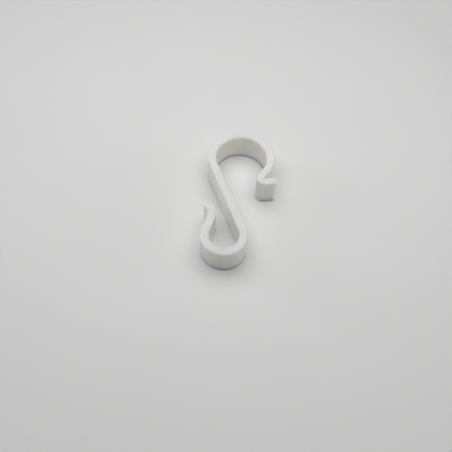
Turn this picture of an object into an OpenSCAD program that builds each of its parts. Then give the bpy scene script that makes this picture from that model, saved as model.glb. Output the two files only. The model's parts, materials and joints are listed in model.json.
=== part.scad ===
// Gutter light hook: one plastic strip, bent into an S and lying on its edge.
// The large hook goes over the rolled lip of a gutter, and the small loop holds a light cord.
// +Z runs across the strip, +Y from the loop to the hook, whose centres lie on one line along Y.
// The origin is the middle of the part's box, on the face that it lies on.

/* [Strip] */
// Thickness of the strip
strip_t = 2.6; // [1.8:0.1:3.4]
// Width of the strip, which is the part's height as it lies
strip_w = 10; // [6:0.5:20]
// Rounding of the strip's edges, along its sides and around its ends
edge_r = 0.4; // [0.2:0.05:0.6]

/* [Hook] */
// Inside diameter of the hook that goes over the gutter's lip
hook_d = 17.2; // [14:0.2:30]
// Angle that the hook turns through, from the shank to its free end
hook_turn = 245; // [225:1:255]
// Straight length between the hook and the lip
lip_neck = 0.4; // [0.2:0.1:3]
// Inside radius of the bend that turns the lip outwards
lip_in_r = 0.4; // [0.4:0.1:2]
// Angle that the lip turns back through
lip_turn = 147; // [100:1:170]
// Straight length of the lip past its bend
lip_l = 3; // [1:0.1:5]

/* [Shank] */
// Straight length of the shank between the hook and the loop
shank_l = 27; // [20:0.1:60]

/* [Loop] */
// Inside diameter of the loop that holds the cord
loop_d = 9.5; // [8:0.1:14]
// Angle that the loop turns through, from the shank to its arm
loop_turn = 220; // [205:1:230]
// Gap between the arm and the shank, where the cord is pushed in
loop_mouth = 4; // [2:0.1:4.5]
// Inside radius of the bend that flares the arm's tip outwards
flare_in_r = 3.6; // [2:0.1:6]
// Angle that the flare turns back through
flare_turn = 59; // [30:1:80]
// Straight length of the tip past the flare
flare_l = 1.3; // [0.7:0.1:4]

/* [Hidden] */
$fn = 96;

// The bends are this much slimmer on every side, so their ends lie within those of the straight runs
bend_slim = 0.01;
// Angle by which the two sectors that cut out a bend overlap past its middle
bend_lap = 4;

// Radius of a bend to the middle of the strip, and to its outside, from its inside radius
function middle_r(inside_r) = inside_r + strip_t / 2 - bend_slim;
function outside_r(inside_r) = inside_r + strip_t - 2 * bend_slim;

hook_in_r = hook_d / 2;
loop_in_r = loop_d / 2;

// The arm closes in on the shank until the back of the flare leaves the loop's mouth open
arm_lean = loop_turn - 180;
flare_back = (flare_in_r + strip_t) * (1 - cos(arm_lean));
arm_l = (loop_in_r * (1 + cos(arm_lean)) - flare_back - loop_mouth) / sin(arm_lean);

// The shank leans across the line between the two centres, and is tangent to both bends
bends_apart = middle_r(hook_in_r) + middle_r(loop_in_r);
shank_lean = atan2(bends_apart, shank_l);
centre_gap = norm([shank_l, bends_apart]);

// Headings at the ends of the hook and the lip, and how far the lip's rounded corner reaches along X
neck_a = 90 + shank_lean - hook_turn;
lip_a = neck_a + lip_turn;
lip_reach = lip_neck * cos(neck_a) - (middle_r(hook_in_r) + middle_r(lip_in_r)) * sin(neck_a)
    + (lip_l - edge_r) * cos(lip_a) + (middle_r(lip_in_r) + strip_t / 2 - edge_r) * sin(lip_a) + edge_r;

// Centre of the hook, from the middle of the part's box
hook_x = (outside_r(hook_in_r) - max(lip_reach, outside_r(hook_in_r))) / 2;
hook_y = (centre_gap + outside_r(loop_in_r) - outside_r(hook_in_r)) / 2;

// Rectangle with rounded corners, from the origin
module rounded_rect(width, height) {
    translate([edge_r, 0]) square([width - 2 * edge_r, height]);
    translate([0, edge_r]) square([width, height - 2 * edge_r]);
    for (x = [edge_r, width - edge_r], y = [edge_r, height - edge_r])
        translate([x, y]) circle(edge_r);
}

// Cross-section of the strip: its thickness is centred and its width starts at zero
module section(slim = 0) {
    translate([slim - strip_t / 2, slim]) rounded_rect(strip_t - 2 * slim, strip_w - 2 * slim);
}

// Straight run of the strip along +X, with what follows placed at its end
module straight(length) {
    rotate([90, 0, 90]) linear_extrude(length) section();
    translate([length, 0, 0]) children();
}

// Sector about the origin that starts at -Y and opens to the left, past the strip on all sides
module sector(angle, radius) {
    translate([0, 0, -strip_w]) linear_extrude(3 * strip_w)
        polygon([[0, 0], for (i = [0:2]) 2 * radius * [sin(i * angle / 2), -cos(i * angle / 2)]]);
}

// Bend of the strip, to the left for a positive turn, with what follows placed at its end.
// It is a full ring, cut by one sector from each of its ends.
module bend(inside_r, turn) {
    centre_y = sign(turn) * middle_r(inside_r);
    half_a = abs(turn) / 2 + bend_lap;
    module half() {
        mirror([0, turn < 0 ? 1 : 0, 0]) sector(half_a, outside_r(inside_r));
    }
    translate([0, centre_y, 0]) {
        intersection() {
            rotate_extrude() translate([middle_r(inside_r), 0]) section(bend_slim);
            union() {
                half();
                rotate(turn) mirror([1, 0, 0]) half();
            }
        }
        rotate(turn) translate([0, -centre_y, 0]) children();
    }
}

// Last run of the strip along +X, rounded off at its end in plan and from the side
module tip(length) {
    intersection() {
        straight(length);
        translate([-length, -strip_t / 2, 0]) linear_extrude(strip_w) rounded_rect(2 * length, strip_t);
        translate([-length, strip_t / 2, 0]) rotate([90, 0, 0])
            linear_extrude(strip_t) rounded_rect(2 * length, strip_w);
    }
}

// The whole strip, followed both ways from where the shank meets the hook
module hook() {
    color([0.93, 0.93, 0.92])
    translate([hook_x, hook_y, 0]) rotate(90 + shank_lean) translate([0, middle_r(hook_in_r), 0]) {
        bend(hook_in_r, -hook_turn) straight(lip_neck) bend(lip_in_r, lip_turn) tip(lip_l);
        rotate(180) straight(shank_l)
            bend(loop_in_r, -loop_turn) straight(arm_l) bend(flare_in_r, flare_turn) tip(flare_l);
    }
}

hook();
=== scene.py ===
import json

import bpy
import numpy as np
from mathutils import Matrix, Vector


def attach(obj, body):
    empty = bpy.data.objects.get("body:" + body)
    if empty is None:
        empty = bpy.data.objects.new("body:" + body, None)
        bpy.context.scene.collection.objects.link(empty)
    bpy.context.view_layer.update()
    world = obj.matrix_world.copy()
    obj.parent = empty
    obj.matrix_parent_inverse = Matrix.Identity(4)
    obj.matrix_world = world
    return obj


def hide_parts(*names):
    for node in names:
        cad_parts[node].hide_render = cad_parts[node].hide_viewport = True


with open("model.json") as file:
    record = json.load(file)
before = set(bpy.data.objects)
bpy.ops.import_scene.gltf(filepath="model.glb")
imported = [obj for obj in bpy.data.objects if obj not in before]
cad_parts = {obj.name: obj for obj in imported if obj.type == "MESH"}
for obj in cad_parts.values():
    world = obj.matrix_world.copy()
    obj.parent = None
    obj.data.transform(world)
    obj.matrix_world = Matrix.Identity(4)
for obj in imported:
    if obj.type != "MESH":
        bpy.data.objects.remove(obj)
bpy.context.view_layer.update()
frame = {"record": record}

bl_info = {
    "name": "Gutter light hook",
    "version": (1, 0, 0),
    "blender": (4, 5, 0),
    "location": "3D View > Sidebar > Gutter hook",
    "description": "Bends a white plastic strip into a gutter light hook, and lays it on a pale stage",
    "category": "Add Mesh",
}

MM = 0.001
MOUNTS = {mount["name"]: mount for mount in frame["record"]["mounts"]}
HOOK_MOUNT = MOUNTS["gutter_hook"]
LOOP_MOUNT = MOUNTS["cord_loop"]

# How far the strip lies inside the solid's straight runs on every side, in millimetres
HAIR = 0.01

# Places of the loop, the shank and the hook among the strip's runs
LOOP_RUN, SHANK_RUN, HOOK_RUN = 3, 4, 5

# Flow marks per metre along the strip and round it
FLOW_MARKS = (160.0, 1500.0, 1.0)

# How far red, green and blue light go into the plastic, as shares of the light depth
LIGHT_SPREAD = (1.0, 0.92, 0.74)

# Sockets of a Mix node that mixes colours, which has the same names again for other kinds of data
MIX_AMOUNT, MIX_FIRST, MIX_SECOND, MIX_RESULT = 0, 6, 7, 2


def millimetres(label, about, value, least=0.0):
    """A length property, with its default and its least value given in millimetres."""
    return bpy.props.FloatProperty(
        name=label, description=about, default=value * MM, min=least * MM, precision=5,
        unit="LENGTH", subtype="DISTANCE"
    )


def degrees(label, about, value):
    """An angle property, with its default given in degrees."""
    return bpy.props.FloatProperty(name=label, description=about, default=np.radians(value), subtype="ANGLE")


def watts(label, about, value):
    """A lamp's power property."""
    return bpy.props.FloatProperty(name=label, description=about, default=value, min=0.0, unit="POWER")


def share(label, about, value):
    """A plain number property from 0 to 1."""
    return bpy.props.FloatProperty(
        name=label, description=about, default=value, min=0.0, max=1.0, precision=3, subtype="FACTOR"
    )


def colour(label, about, value):
    """A linear colour property."""
    return bpy.props.FloatVectorProperty(
        name=label, description=about, default=value, size=3, min=0.0, max=1.0, subtype="COLOR"
    )


def camera_size(label, about, value):
    """A size inside the camera, which Blender keeps in millimetres."""
    return bpy.props.FloatProperty(name=label, description=about, default=value, min=1.0, unit="CAMERA")


class HookStrip(bpy.types.PropertyGroup):
    """Sizes of the strip and of each run and bend along it"""

    thickness: millimetres("Thickness", "Thickness of the strip, a hair inside the solid's", 2.6 - 2 * HAIR)
    width: millimetres("Width", "Width of the strip, a hair inside the solid's", 10 - 2 * HAIR)
    edge: millimetres("Edge rounding", "Rounding along the strip's edges and around its ends", 0.4)
    hook_inside: millimetres("Hook inside", "Inside radius of the large hook", HOOK_MOUNT["dims"]["r_mm"])
    hook_turn: degrees("Hook turn", "Angle that the hook turns through", 245)
    neck: millimetres("Neck", "Straight length between the hook and its lip", 0.4)
    lip_inside: millimetres("Lip inside", "Inside radius of the lip's bend", 0.4)
    lip_turn: degrees("Lip turn", "Angle that the lip turns back through", 147)
    lip: millimetres("Lip length", "Straight length of the lip past its bend", 3.0)
    shank: millimetres("Shank", "Straight length between the hook and the loop", 27.0)
    loop_inside: millimetres("Loop inside", "Inside radius of the cord loop", LOOP_MOUNT["dims"]["r_mm"])
    loop_turn: degrees("Loop turn", "Angle that the loop turns through", 220)
    mouth: millimetres("Loop mouth", "Gap between the loop's arm and the shank", 4.0)
    flare_inside: millimetres("Flare inside", "Inside radius of the bend at the arm's tip", 3.6)
    flare_turn: degrees("Flare turn", "Angle that the arm's tip flares through", 59)
    flare: millimetres("Flare length", "Straight length of the tip past the flare", 1.3)


class HookPlastic(bpy.types.PropertyGroup):
    """Colours and finish of the moulded plastic"""

    body: colour("Plastic", "Main colour of the white plastic", (0.808, 0.803, 0.774))
    cloudy: colour("Cloudy places", "Colour of the plastic's faintly darker clouds", (0.788, 0.782, 0.751))
    # Paler edge colour: partly worn plastic, partly a painted highlight along the rounded edges
    worn_highlit: colour("Rubbed edges", "Colour of the paler, rubbed edges", (0.836, 0.832, 0.812))
    sheen_low: share("Smoothest", "Roughness of the smoothest places", 0.60)
    sheen_high: share("Roughest", "Roughness of the roughest places", 0.78)
    grain: millimetres("Grain size", "Size of the mould's fine grain", 0.16)
    grain_depth: millimetres("Grain depth", "Depth of the mould's fine grain", 0.006)
    clouds: millimetres("Cloud size", "Size of the clouds in the colour", 3.2)
    depth: millimetres("Light depth", "How far red light goes into the plastic", 7.0)


class HookStage(bpy.types.PropertyGroup):
    """Floor, light and camera"""

    floor: colour("Floor", "Colour of the pale floor and backdrop", (0.772, 0.772, 0.768))
    radius: millimetres("Floor radius", "Radius at which the floor has become an upright backdrop", 900)
    sweep: millimetres("Sweep radius", "Radius of the curve between the floor and the backdrop", 500)
    wall: millimetres("Backdrop height", "Height of the backdrop above its curve", 500)
    paper_clouds: millimetres("Paper clouds", "Size of the faint clouds in the floor's tint", 30)
    backdrop: colour("Backdrop", "Colour that the far floor shows to the camera", (0.640, 0.640, 0.638))
    near: millimetres("Near floor", "Distance up to which the floor shows its own colour alone", 96)
    far: millimetres("Far floor", "Distance past which the floor shows the backdrop's colour alone", 240)
    sky: share("Sky", "Strength of the even light from all round", 0.0)
    softbox: watts("Softbox", "Power of the broad lamp overhead", 0.705)
    softbox_x: millimetres("Softbox X", "Place of the broad lamp along X", -14, least=-1000)
    softbox_y: millimetres("Softbox Y", "Place of the broad lamp along Y", 40, least=-1000)
    softbox_height: millimetres("Softbox height", "Height of the broad lamp above the floor", 240)
    softbox_width: millimetres("Softbox width", "Size of the broad lamp along X", 400)
    softbox_depth: millimetres("Softbox depth", "Size of the broad lamp along Y", 320)
    left_lamp: watts("Left lamp", "Power of the low lamp on the left", 0.36)
    right_lamp: watts("Right lamp", "Power of the low lamp on the right", 0.27)
    lamp_out: millimetres("Lamps out", "Distance of the low lamps from the middle, along X", 475)
    lamp_back: millimetres("Lamps back", "Distance of the low lamps behind the middle, along Y", 100)
    lamp_height: millimetres("Lamps height", "Height of the low lamps above the floor", 105)
    lamp_span: millimetres("Lamps span", "Diameter of the low lamps", 160)
    aim_x: millimetres("Aim X", "Place on the floor that the camera looks at, along X", -1.85, least=-1000)
    aim_y: millimetres("Aim Y", "Place on the floor that the camera looks at, along Y", -8.32, least=-1000)
    distance: millimetres("Distance", "Distance of the camera from the place it looks at", 173.6)
    azimuth: degrees("Azimuth", "Angle of the camera round the hook, from its front to its right", 8.45)
    elevation: degrees("Elevation", "Angle of the camera above the floor", 57.54)
    roll: degrees("Roll", "Tilt of the camera about its own axis", 2.75)
    lens: camera_size("Lens", "Focal length of the camera's lens", 41.647)
    sensor: camera_size("Sensor", "Width of the camera's sensor", 36.0)


def strip_runs(strip):
    """Lengths and curvatures of the strip's nine runs, from the flare's tip to the lip's tip.

    Straight runs and bends take turns. A bend that turns by A about a radius R to the strip's middle is
    A * R long and has the curvature 1 / R, with the sign of its turn. The arm is as long as leaves the mouth
    open behind the flare.
    """
    lean = strip.loop_turn - np.pi
    flare_back = (strip.flare_inside + strip.thickness) * (1 - np.cos(lean))
    arm = (strip.loop_inside * (1 + np.cos(lean)) - flare_back - strip.mouth) / np.sin(lean)
    straights = np.array([strip.flare, arm, strip.shank, strip.neck, strip.lip])
    inside = np.array([strip.flare_inside, strip.loop_inside, strip.hook_inside, strip.lip_inside])
    turns = np.array([-strip.flare_turn, strip.loop_turn, -strip.hook_turn, strip.lip_turn])
    radii = inside + strip.thickness / 2
    lengths = np.zeros(len(straights) + len(turns))
    lengths[::2] = straights
    lengths[1::2] = np.abs(turns) * radii
    curvatures = np.zeros_like(lengths)
    curvatures[1::2] = np.sign(turns) / radii
    return lengths, curvatures


def strip_path(strip):
    """Path of the strip's middle line in plan, as a function of the distance along it, and where runs meet.

    Within a run of curvature k that starts at p with the heading h, the point at the distance t is
    p + t * sinc(k * t / 2) * (cos, sin)(h + k * t / 2), which is a circle's chord, or the line itself for
    k = 0. The path is turned so that the shank leans over between the two centres, and moved so that the
    hook's centre is on its mount.
    """
    lengths, curvatures = strip_runs(strip)

    def chord(along, curvature, heading):
        bearing = heading + curvature * along / 2
        reach = along * np.sinc(curvature * along / (2 * np.pi))
        return reach[:, None] * np.stack([np.cos(bearing), np.sin(bearing)], 1)

    bends_apart = np.sum(1 / np.abs(curvatures[[LOOP_RUN, HOOK_RUN]]))
    shank_heading = np.pi / 2 + np.arctan2(bends_apart, strip.shank)
    turned = np.concatenate([[0], np.cumsum(lengths * curvatures)[:-1]])
    headings = turned - turned[SHANK_RUN] + shank_heading
    starts = np.concatenate([np.zeros((1, 2)), np.cumsum(chord(lengths, curvatures, headings), 0)[:-1]])
    left = np.array([-np.sin(headings[HOOK_RUN]), np.cos(headings[HOOK_RUN])])
    hook_centre = starts[HOOK_RUN] + left / curvatures[HOOK_RUN]
    starts += np.array(HOOK_MOUNT["pos_m"][:2]) - hook_centre
    reached = np.concatenate([[0], np.cumsum(lengths)])

    def at(distance):
        run = np.clip(np.searchsorted(reached, distance, side="right") - 1, 0, len(lengths) - 1)
        along = distance - reached[run]
        place = starts[run] + chord(along, curvatures[run], headings[run])
        return place, headings[run] + curvatures[run] * along

    return at, reached


def strip_section(strip, across=5, round_steps=6, near_corner=0.03):
    """Cross-section of the strip as anchors on an inner rectangle, the outward normal at each, and its edge
    mask.

    A point of the rounded rectangle is its anchor plus the edge rounding times its normal. A corner's points
    share one anchor, and the normal turns by a right angle over them. Each side has a few anchors between its
    corners, with one close to either corner so that the flat stays flat up to the rounding. The edge mask,
    for worn edges and a painted highlight, is sin(pi * t) for t from 0 to 1 over a corner, and 0 on the
    flats.
    """
    half = np.array([strip.thickness, strip.width]) / 2 - strip.edge
    corners = half * np.array([[1, 1], [-1, 1], [-1, -1], [1, -1]])
    turn = np.arange(4)[:, None] * np.pi / 2 + np.linspace(0, np.pi / 2, round_steps + 1)
    arc_anchor = np.repeat(corners[:, None], round_steps + 1, 1)
    arc_normal = np.stack([np.cos(turn), np.sin(turn)], -1)
    even = np.linspace(0, 1, across + 2)[1:-1]
    blend = np.concatenate([[near_corner], even, [1 - near_corner]])[None, :, None]
    side_anchor = corners[:, None] * (1 - blend) + np.roll(corners, -1, 0)[:, None] * blend
    side_normal = np.repeat(arc_normal[:, -1:], blend.shape[1], 1)
    anchors = np.concatenate([arc_anchor, side_anchor], 1).reshape(-1, 2)
    normals = np.concatenate([arc_normal, side_normal], 1).reshape(-1, 2)
    arc_wear_and_highlight = np.sin(np.linspace(0, np.pi, round_steps + 1))
    wear = np.tile(np.concatenate([arc_wear_and_highlight, np.zeros(blend.shape[1])]), 4)
    return anchors, normals, wear


def strip_stations(
    strip, reached, widest_turn=np.radians(2.5), longest_step=0.8 * MM, end_rows=8, clear=1.15
):
    """Distances along the strip at which it has a row of points.

    Each run is divided evenly, into steps that turn by no more than the widest turn and are no longer than
    the longest step. Round each end the rows lie at edge * (1 - cos a) instead, for even steps of a from 0 to
    a right angle, so that they follow the end's rounding. The even steps stay clear of the ends, by that
    many roundings.
    """
    lengths, curvatures = strip_runs(strip)
    by_turn = lengths * np.abs(curvatures) / widest_turn
    counts = np.ceil(np.maximum(by_turn, lengths / longest_step)).astype(int)
    even = np.interp(np.arange(1, counts.sum()), np.concatenate([[0], np.cumsum(counts)]), reached)
    even = even[(even > clear * strip.edge) & (even < reached[-1] - clear * strip.edge)]
    end = strip.edge * (1 - np.cos(np.linspace(0, np.pi / 2, end_rows)))
    return np.concatenate([end, even, reached[-1] - end[::-1]])


def strip_surface(strip, least_round=0.12):
    """The strip as a grid of points, rows along it and columns round its section, with its UV map and edge
    mask.

    At a distance s along the path, a point is the path's point, plus the section's first coordinate along the
    path's left, plus its second along Z. Within one rounding of an end the section's rounding shrinks to
    edge * sqrt(1 - (1 - d / edge)^2), where d is the distance from the end, which gives a quarter round on
    every edge of the end. It keeps the least round's share of the edge, so that a corner's points stay apart.
    U is the distance along the strip and V the distance round its section, in metres. The edge mask, for worn
    edges and a painted highlight, is the section's, or sin(2 * acos(1 - d / edge)) round an end where that is
    more.
    """
    at, reached = strip_path(strip)
    stations = strip_stations(strip, reached)
    anchors, normals, side_wear_and_highlight = strip_section(strip)
    place, heading = at(stations)
    left = np.stack([-np.sin(heading), np.cos(heading)], 1)
    from_end = np.minimum(stations, reached[-1] - stations)
    left_to_round = np.clip(1 - from_end / strip.edge, 0, 1)
    rounding = strip.edge * np.maximum(np.sqrt(1 - left_to_round ** 2), least_round)
    section = anchors[None] + rounding[:, None, None] * normals[None]
    plan = place[:, None] + section[..., :1] * left[:, None]
    middle = HOOK_MOUNT["pos_m"][2]
    points = np.concatenate([plan, section[..., 1:] + middle], 2)
    outline = anchors + strip.edge * normals
    sides = np.linalg.norm(np.roll(outline, -1, 0) - outline, axis=1)
    around = np.concatenate([[0], np.cumsum(sides)])
    wear = np.maximum(side_wear_and_highlight[None], np.sin(2 * np.arccos(left_to_round))[:, None])
    return points, stations, around, wear


def face_corners(rows, columns):
    """Rows and columns of the corners of each face of a grid that is closed round its columns.

    A face goes from (row, column) to the next column, on to the next row and back by a column, so it points
    outwards where the columns run anticlockwise as the rows come towards the eye. The column past the last is
    counted on, and stands for the first.
    """
    row, column = np.meshgrid(np.arange(rows - 1), np.arange(columns), indexing="ij")
    return row.reshape(-1, 1) + [0, 0, 1, 1], column.reshape(-1, 1) + [0, 1, 1, 0]


def closed_tube(name, points, stations, around, wear):
    """Mesh of a grid of points that is closed round its columns, with one flat face over each end.

    UV is the station and the distance round, which runs on past the seam so that no face spans it backwards.
    The edge mask, for worn edges and a painted highlight, is kept on the points.
    """
    rows, columns = points.shape[:2]
    row, column = face_corners(rows, columns)
    quads = row * columns + column % columns
    first = np.arange(columns)[::-1]
    last = (rows - 1) * columns + np.arange(columns)
    mesh = bpy.data.meshes.new(name)
    mesh.from_pydata(points.reshape(-1, 3), [], [*quads.tolist(), first.tolist(), last.tolist()])
    uv = np.concatenate([
        np.stack([stations[row], around[column]], -1).reshape(-1, 2),
        np.stack([np.full(columns, stations[0]), around[first]], 1),
        np.stack([np.full(columns, stations[-1]), around[:columns]], 1),
    ])
    layer = mesh.uv_layers.new(name="along strip")
    layer.data.foreach_set("uv", uv.astype(np.float32).ravel())
    attribute = mesh.attributes.new("wear", "FLOAT", "POINT")
    attribute.data.foreach_set("value", wear.astype(np.float32).ravel())
    mesh.shade_smooth()
    mesh.validate()
    return mesh


def sweep_surface(stage, spokes=96, rings=48, flat_rings=11, hub=0.02):
    """Floor that curves up into a backdrop all round, as a surface of revolution about Z.

    Its profile is a flat line out to radius - sweep, a quarter circle of the sweep's radius, and an upright
    wall. A point is (r(p) * cos q, r(p) * sin q, z(p)) for p along the profile and q round it. One flat face
    closes the middle, as wide as the hub's share of the flat floor. Faces point up and inwards, so their
    corners are taken backwards.
    """
    flat = stage.radius - stage.sweep
    rise = np.linspace(0, np.pi / 2, rings)
    level = flat * np.linspace(hub, 1, flat_rings, endpoint=False)
    reach = np.concatenate([level, flat + stage.sweep * np.sin(rise), [stage.radius]])
    top = stage.sweep + stage.wall
    height = np.concatenate([np.zeros(flat_rings), stage.sweep * (1 - np.cos(rise)), [top]])
    spoke = np.linspace(0, 2 * np.pi, spokes, endpoint=False)
    across = reach[:, None] * np.cos(spoke)
    along = reach[:, None] * np.sin(spoke)
    points = np.stack([across, along, np.repeat(height[:, None], spokes, 1)], -1)
    row, column = face_corners(len(reach), spokes)
    quads = (row * spokes + column % spokes)[:, ::-1]
    mesh = bpy.data.meshes.new("floor")
    mesh.from_pydata(points.reshape(-1, 3), [], [*quads.tolist(), list(range(spokes))])
    mesh.shade_smooth()
    return mesh


def put_in_scene(name, mesh, material):
    """Object at the origin for a mesh whose place is in its points."""
    mesh.materials.append(material)
    obj = bpy.data.objects.new(name, mesh)
    bpy.context.scene.collection.objects.link(obj)
    return obj


def set_socket(tree, socket, value):
    """Gives an input socket a plain value, or links another node's output to it."""
    if isinstance(value, bpy.types.NodeSocket):
        tree.links.new(value, socket)
    else:
        socket.default_value = value


def feed(tree, node, **inputs):
    """Sets a node's inputs by socket name, each to a plain value or another node's output."""
    for name, value in inputs.items():
        set_socket(tree, node.inputs[name.replace("_", " ")], value)


def add(tree, kind, label, **inputs):
    """Node of a kind in a tree, with a label and its inputs set."""
    node = tree.nodes.new(kind)
    node.label = label
    feed(tree, node, **inputs)
    return node


def calculate(tree, label, operation, first, second):
    """Output of a Math node on two values."""
    node = add(tree, "ShaderNodeMath", label)
    node.operation = operation
    set_socket(tree, node.inputs[0], first)
    set_socket(tree, node.inputs[1], second)
    return node.outputs["Value"]


def mix_colours(tree, label, amount, first, second):
    """Output of a mix that runs from the first colour to the second as the amount goes from 0 to 1."""
    node = add(tree, "ShaderNodeMix", label)
    node.data_type = "RGBA"
    set_socket(tree, node.inputs[MIX_AMOUNT], amount)
    set_socket(tree, node.inputs[MIX_FIRST], first)
    set_socket(tree, node.inputs[MIX_SECOND], second)
    return node.outputs[MIX_RESULT]


def opaque(paint):
    """A colour's three channels with full alpha, as a node's colour socket takes them."""
    return (*paint, 1.0)


def fine_grain_group():
    """Node group of two noises on one set of coordinates: slow clouds, and a fine grain for height."""
    name = "fine grain"
    if name in bpy.data.node_groups:
        return bpy.data.node_groups[name]
    tree = bpy.data.node_groups.new(name, "ShaderNodeTree")
    tree.interface.new_socket("Coordinates", in_out="INPUT", socket_type="NodeSocketVector")
    for socket in ("Cloud Scale", "Grain Scale"):
        tree.interface.new_socket(socket, in_out="INPUT", socket_type="NodeSocketFloat")
    for socket in ("Clouds", "Grain"):
        tree.interface.new_socket(socket, in_out="OUTPUT", socket_type="NodeSocketFloat")
    given = tree.nodes.new("NodeGroupInput").outputs
    clouds = add(tree, "ShaderNodeTexNoise", "Clouds", Detail=3.0, Roughness=0.55)
    feed(tree, clouds, Vector=given["Coordinates"], Scale=given["Cloud Scale"])
    grain = add(tree, "ShaderNodeTexNoise", "Grain", Detail=2.0, Roughness=0.6)
    feed(tree, grain, Vector=given["Coordinates"], Scale=given["Grain Scale"])
    feed(tree, tree.nodes.new("NodeGroupOutput"), Clouds=clouds.outputs["Fac"], Grain=grain.outputs["Fac"])
    return tree


def fine_grain(tree, **scales):
    """Outputs of a material's texture coordinates, and of the fine grain group on its Object coordinates."""
    coordinates = tree.nodes.new("ShaderNodeTexCoord").outputs
    group = tree.nodes.new("ShaderNodeGroup")
    group.node_tree = fine_grain_group()
    feed(tree, group, Coordinates=coordinates["Object"], **scales)
    return coordinates, group.outputs


def new_material(name):
    """Material with nodes, its tree and its Principled shader."""
    material = bpy.data.materials.new(name)
    material.use_nodes = True
    tree = material.node_tree
    return material, tree, tree.nodes["Principled BSDF"]


def plastic_material(finish):
    """White moulded plastic: faint clouds in the colour, flow marks along the strip, and a fine mould grain.

    Colour runs from the body to the cloudy colour by the slow clouds, and on the edges to a paler colour that
    is partly worn plastic and partly a painted highlight.
    Roughness follows the flow marks and drops on worn edges, and the grain is a bump. Light goes some way
    into the plastic, red furthest, so shaded walls are softly and warmly lit from within.
    """
    material, tree, shader = new_material("white moulded plastic")
    coordinates, texture = fine_grain(tree, Cloud_Scale=1 / finish.clouds, Grain_Scale=1 / finish.grain)

    stretch = add(tree, "ShaderNodeMapping", "Stretch along the strip", Scale=FLOW_MARKS)
    feed(tree, stretch, Vector=coordinates["UV"])
    marks = add(tree, "ShaderNodeTexNoise", "Flow marks", Scale=1.0, Detail=3.0, Roughness=0.5)
    feed(tree, marks, Vector=stretch.outputs["Vector"])
    flow = marks.outputs["Fac"]
    wear = add(tree, "ShaderNodeAttribute", "Wear")
    wear.attribute_name = "wear"
    patchy_wear_and_highlight = calculate(tree, "Worn in patches", "MULTIPLY", wear.outputs["Fac"], flow)

    clouds = add(tree, "ShaderNodeMapRange", "Cloud amount", From_Min=0.40, From_Max=0.68)
    feed(tree, clouds, Value=texture["Clouds"])
    body, cloudy, worn_highlit = opaque(finish.body), opaque(finish.cloudy), opaque(finish.worn_highlit)
    moulded = mix_colours(tree, "Cloudy colour", clouds.outputs["Result"], body, cloudy)
    # Paler colour on the edges in patches: partly worn plastic, partly a painted highlight along the edges
    feed(tree, shader, Base_Color=mix_colours(tree, "Rubbed colour", patchy_wear_and_highlight, moulded, worn_highlit))

    sheen = add(tree, "ShaderNodeMapRange", "Roughness", From_Min=0.3, From_Max=0.7)
    feed(tree, sheen, Value=calculate(tree, "Flow marks, less wear", "SUBTRACT", flow, patchy_wear_and_highlight))
    feed(tree, sheen, To_Min=finish.sheen_low, To_Max=finish.sheen_high)
    feed(tree, shader, Roughness=sheen.outputs["Result"], IOR=1.47, Specular_IOR_Level=0.15)

    bump = add(tree, "ShaderNodeBump", "Mould grain", Strength=0.6, Distance=finish.grain_depth)
    feed(tree, bump, Height=texture["Grain"])
    feed(tree, shader, Normal=bump.outputs["Normal"])

    feed(tree, shader, Subsurface_Weight=1.0, Subsurface_Radius=LIGHT_SPREAD)
    feed(tree, shader, Subsurface_Scale=finish.depth, Subsurface_Anisotropy=0.6)
    return material


def floor_material(stage, shades=(0.985, 1.015)):
    """Pale paper with faint clouds in its tint, whose far parts look evenly pale to the camera.

    The tint runs between two shades, as shares of the floor's colour. From the near to the far distance the
    paper turns into an even pale emission, but only for camera, glossy and transmission rays, so it is seen
    and mirrored without lighting the hook.
    """
    material, tree, shader = new_material("pale paper")
    coordinates, texture = fine_grain(tree, Cloud_Scale=1 / stage.paper_clouds)
    darker, lighter = (opaque(shade * channel for channel in stage.floor) for shade in shades)
    tint = mix_colours(tree, "Paper tint", texture["Clouds"], darker, lighter)
    feed(tree, shader, Base_Color=tint, Roughness=0.9, Specular_IOR_Level=0.1)

    away = add(tree, "ShaderNodeVectorMath", "Distance from the hook", Vector=coordinates["Object"])
    away.operation = "LENGTH"
    far = add(tree, "ShaderNodeMapRange", "Far paper", From_Min=stage.near, From_Max=stage.far)
    far.interpolation_type = "SMOOTHSTEP"
    feed(tree, far, Value=away.outputs["Value"])
    ray = tree.nodes.new("ShaderNodeLightPath").outputs
    looked_at = calculate(tree, "Seen or mirrored", "MAXIMUM", ray["Is Camera Ray"], ray["Is Glossy Ray"])
    seen = calculate(tree, "Or seen through", "MAXIMUM", looked_at, ray["Is Transmission Ray"])
    shown = calculate(tree, "Far and seen", "MULTIPLY", far.outputs["Result"], seen)

    glow = add(tree, "ShaderNodeEmission", "Pale backdrop", Color=opaque(stage.backdrop), Strength=1.0)
    blend = tree.nodes.new("ShaderNodeMixShader")
    for socket, value in zip(blend.inputs, (shown, shader.outputs["BSDF"], glow.outputs["Emission"])):
        set_socket(tree, socket, value)
    feed(tree, tree.nodes["Material Output"], Surface=blend.outputs["Shader"])
    return material


def soft_lamp(name, place, target, width, depth, power):
    """White elliptical area lamp of a width and depth, at a place, shining at a point."""
    lamp = bpy.data.lights.new(name, "AREA")
    lamp.shape = "ELLIPSE"
    lamp.size = width
    lamp.size_y = depth
    lamp.energy = power
    obj = bpy.data.objects.new(name, lamp)
    obj.location = place
    obj.rotation_euler = (Vector(target) - obj.location).to_track_quat("-Z", "Y").to_euler()
    bpy.context.scene.collection.objects.link(obj)


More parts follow.
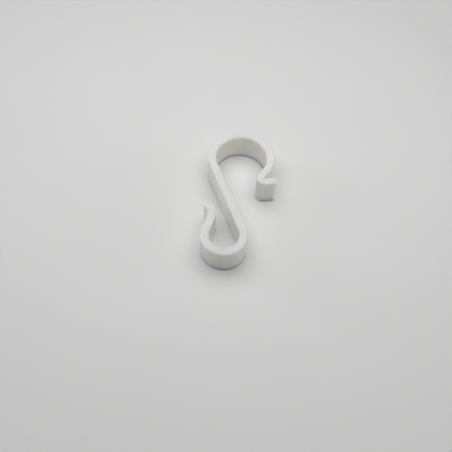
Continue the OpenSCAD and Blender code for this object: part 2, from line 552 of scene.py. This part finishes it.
def place_camera(stage):
    """Camera at a distance, azimuth and elevation from the place it looks at, rolled about its own axis.

    Back points from that place to the camera, right lies level, and up stands across both. The roll turns
    right and up about back.
    """
    front = np.array([np.sin(stage.azimuth), -np.cos(stage.azimuth), 0.0])
    back = np.cos(stage.elevation) * front + np.array([0.0, 0.0, np.sin(stage.elevation)])
    right = np.array([np.cos(stage.azimuth), np.sin(stage.azimuth), 0.0])
    up = np.cross(back, right)
    rolled_right = np.cos(stage.roll) * right + np.sin(stage.roll) * up
    rolled_up = np.cos(stage.roll) * up - np.sin(stage.roll) * right
    turn = Matrix(np.stack([rolled_right, rolled_up, back], 1).tolist())
    place = np.array([stage.aim_x, stage.aim_y, 0.0]) + stage.distance * back
    camera = bpy.data.objects.new("camera", bpy.data.cameras.new("camera"))
    camera.matrix_world = Matrix.Translation(Vector(place)) @ turn.to_4x4()
    camera.data.lens = stage.lens
    camera.data.sensor_width = stage.sensor
    camera.data.clip_start = 0.005
    camera.data.clip_end = 50.0
    bpy.context.scene.collection.objects.link(camera)
    bpy.context.scene.camera = camera


class HOOK_OT_strip(bpy.types.Operator):
    """Bend the plastic strip into the hook, its shank and the cord loop"""

    bl_idname = "gutter_hook.strip"
    bl_label = "Make the hook"

    def execute(self, context):
        mesh = closed_tube("bent_strip", *strip_surface(context.scene.hook_strip))
        strip = put_in_scene("bent_strip", mesh, plastic_material(context.scene.hook_plastic))
        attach(strip, "root")
        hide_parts("hook")
        return {"FINISHED"}


class HOOK_OT_stage(bpy.types.Operator):
    """Make the pale floor, the soft light and the camera"""

    bl_idname = "gutter_hook.stage"
    bl_label = "Make the stage"

    def execute(self, context):
        stage = context.scene.hook_stage
        put_in_scene("floor", sweep_surface(stage), floor_material(stage))
        below = Vector((stage.softbox_x, stage.softbox_y, 0.0))
        above = below + Vector((0.0, 0.0, stage.softbox_height))
        soft_lamp("softbox", above, below, stage.softbox_width, stage.softbox_depth, stage.softbox)
        for name, side, power in (("left lamp", -1, stage.left_lamp), ("right lamp", 1, stage.right_lamp)):
            place = (side * stage.lamp_out, stage.lamp_back, stage.lamp_height)
            soft_lamp(name, place, (0.0, 0.0, 0.0), stage.lamp_span, stage.lamp_span, power)
        world = bpy.data.worlds.new("soft sky")
        world.use_nodes = True
        background = world.node_tree.nodes["Background"]
        feed(world.node_tree, background, Color=(1.0, 1.0, 1.0, 1.0), Strength=stage.sky)
        context.scene.world = world
        context.scene.view_settings.view_transform = "Standard"
        place_camera(stage)
        return {"FINISHED"}


class HOOK_PT_sidebar(bpy.types.Panel):
    """Sizes, finish and stage of the gutter hook"""

    bl_idname = "HOOK_PT_sidebar"
    bl_label = "Gutter light hook"
    bl_space_type = "VIEW_3D"
    bl_region_type = "UI"
    bl_category = "Gutter hook"

    def draw(self, context):
        scene = context.scene
        for settings, operator in (
            (scene.hook_strip, HOOK_OT_strip), (scene.hook_plastic, None), (scene.hook_stage, HOOK_OT_stage),
        ):
            box = self.layout.box()
            for name in settings.__annotations__:
                box.prop(settings, name)
            if operator:
                box.operator(operator.bl_idname)


CLASSES = (HookStrip, HookPlastic, HookStage, HOOK_OT_strip, HOOK_OT_stage, HOOK_PT_sidebar)


def register():
    """Register the classes, and give each scene its settings."""
    for cls in CLASSES:
        bpy.utils.register_class(cls)
    bpy.types.Scene.hook_strip = bpy.props.PointerProperty(type=HookStrip)
    bpy.types.Scene.hook_plastic = bpy.props.PointerProperty(type=HookPlastic)
    bpy.types.Scene.hook_stage = bpy.props.PointerProperty(type=HookStage)


def unregister():
    """Take back what register did."""
    del bpy.types.Scene.hook_stage, bpy.types.Scene.hook_plastic, bpy.types.Scene.hook_strip
    for cls in reversed(CLASSES):
        bpy.utils.unregister_class(cls)


def main():
    """Make the hook and its stage."""
    register()
    bpy.ops.gutter_hook.strip()
    bpy.ops.gutter_hook.stage()


if __name__ == "__main__":
    main()
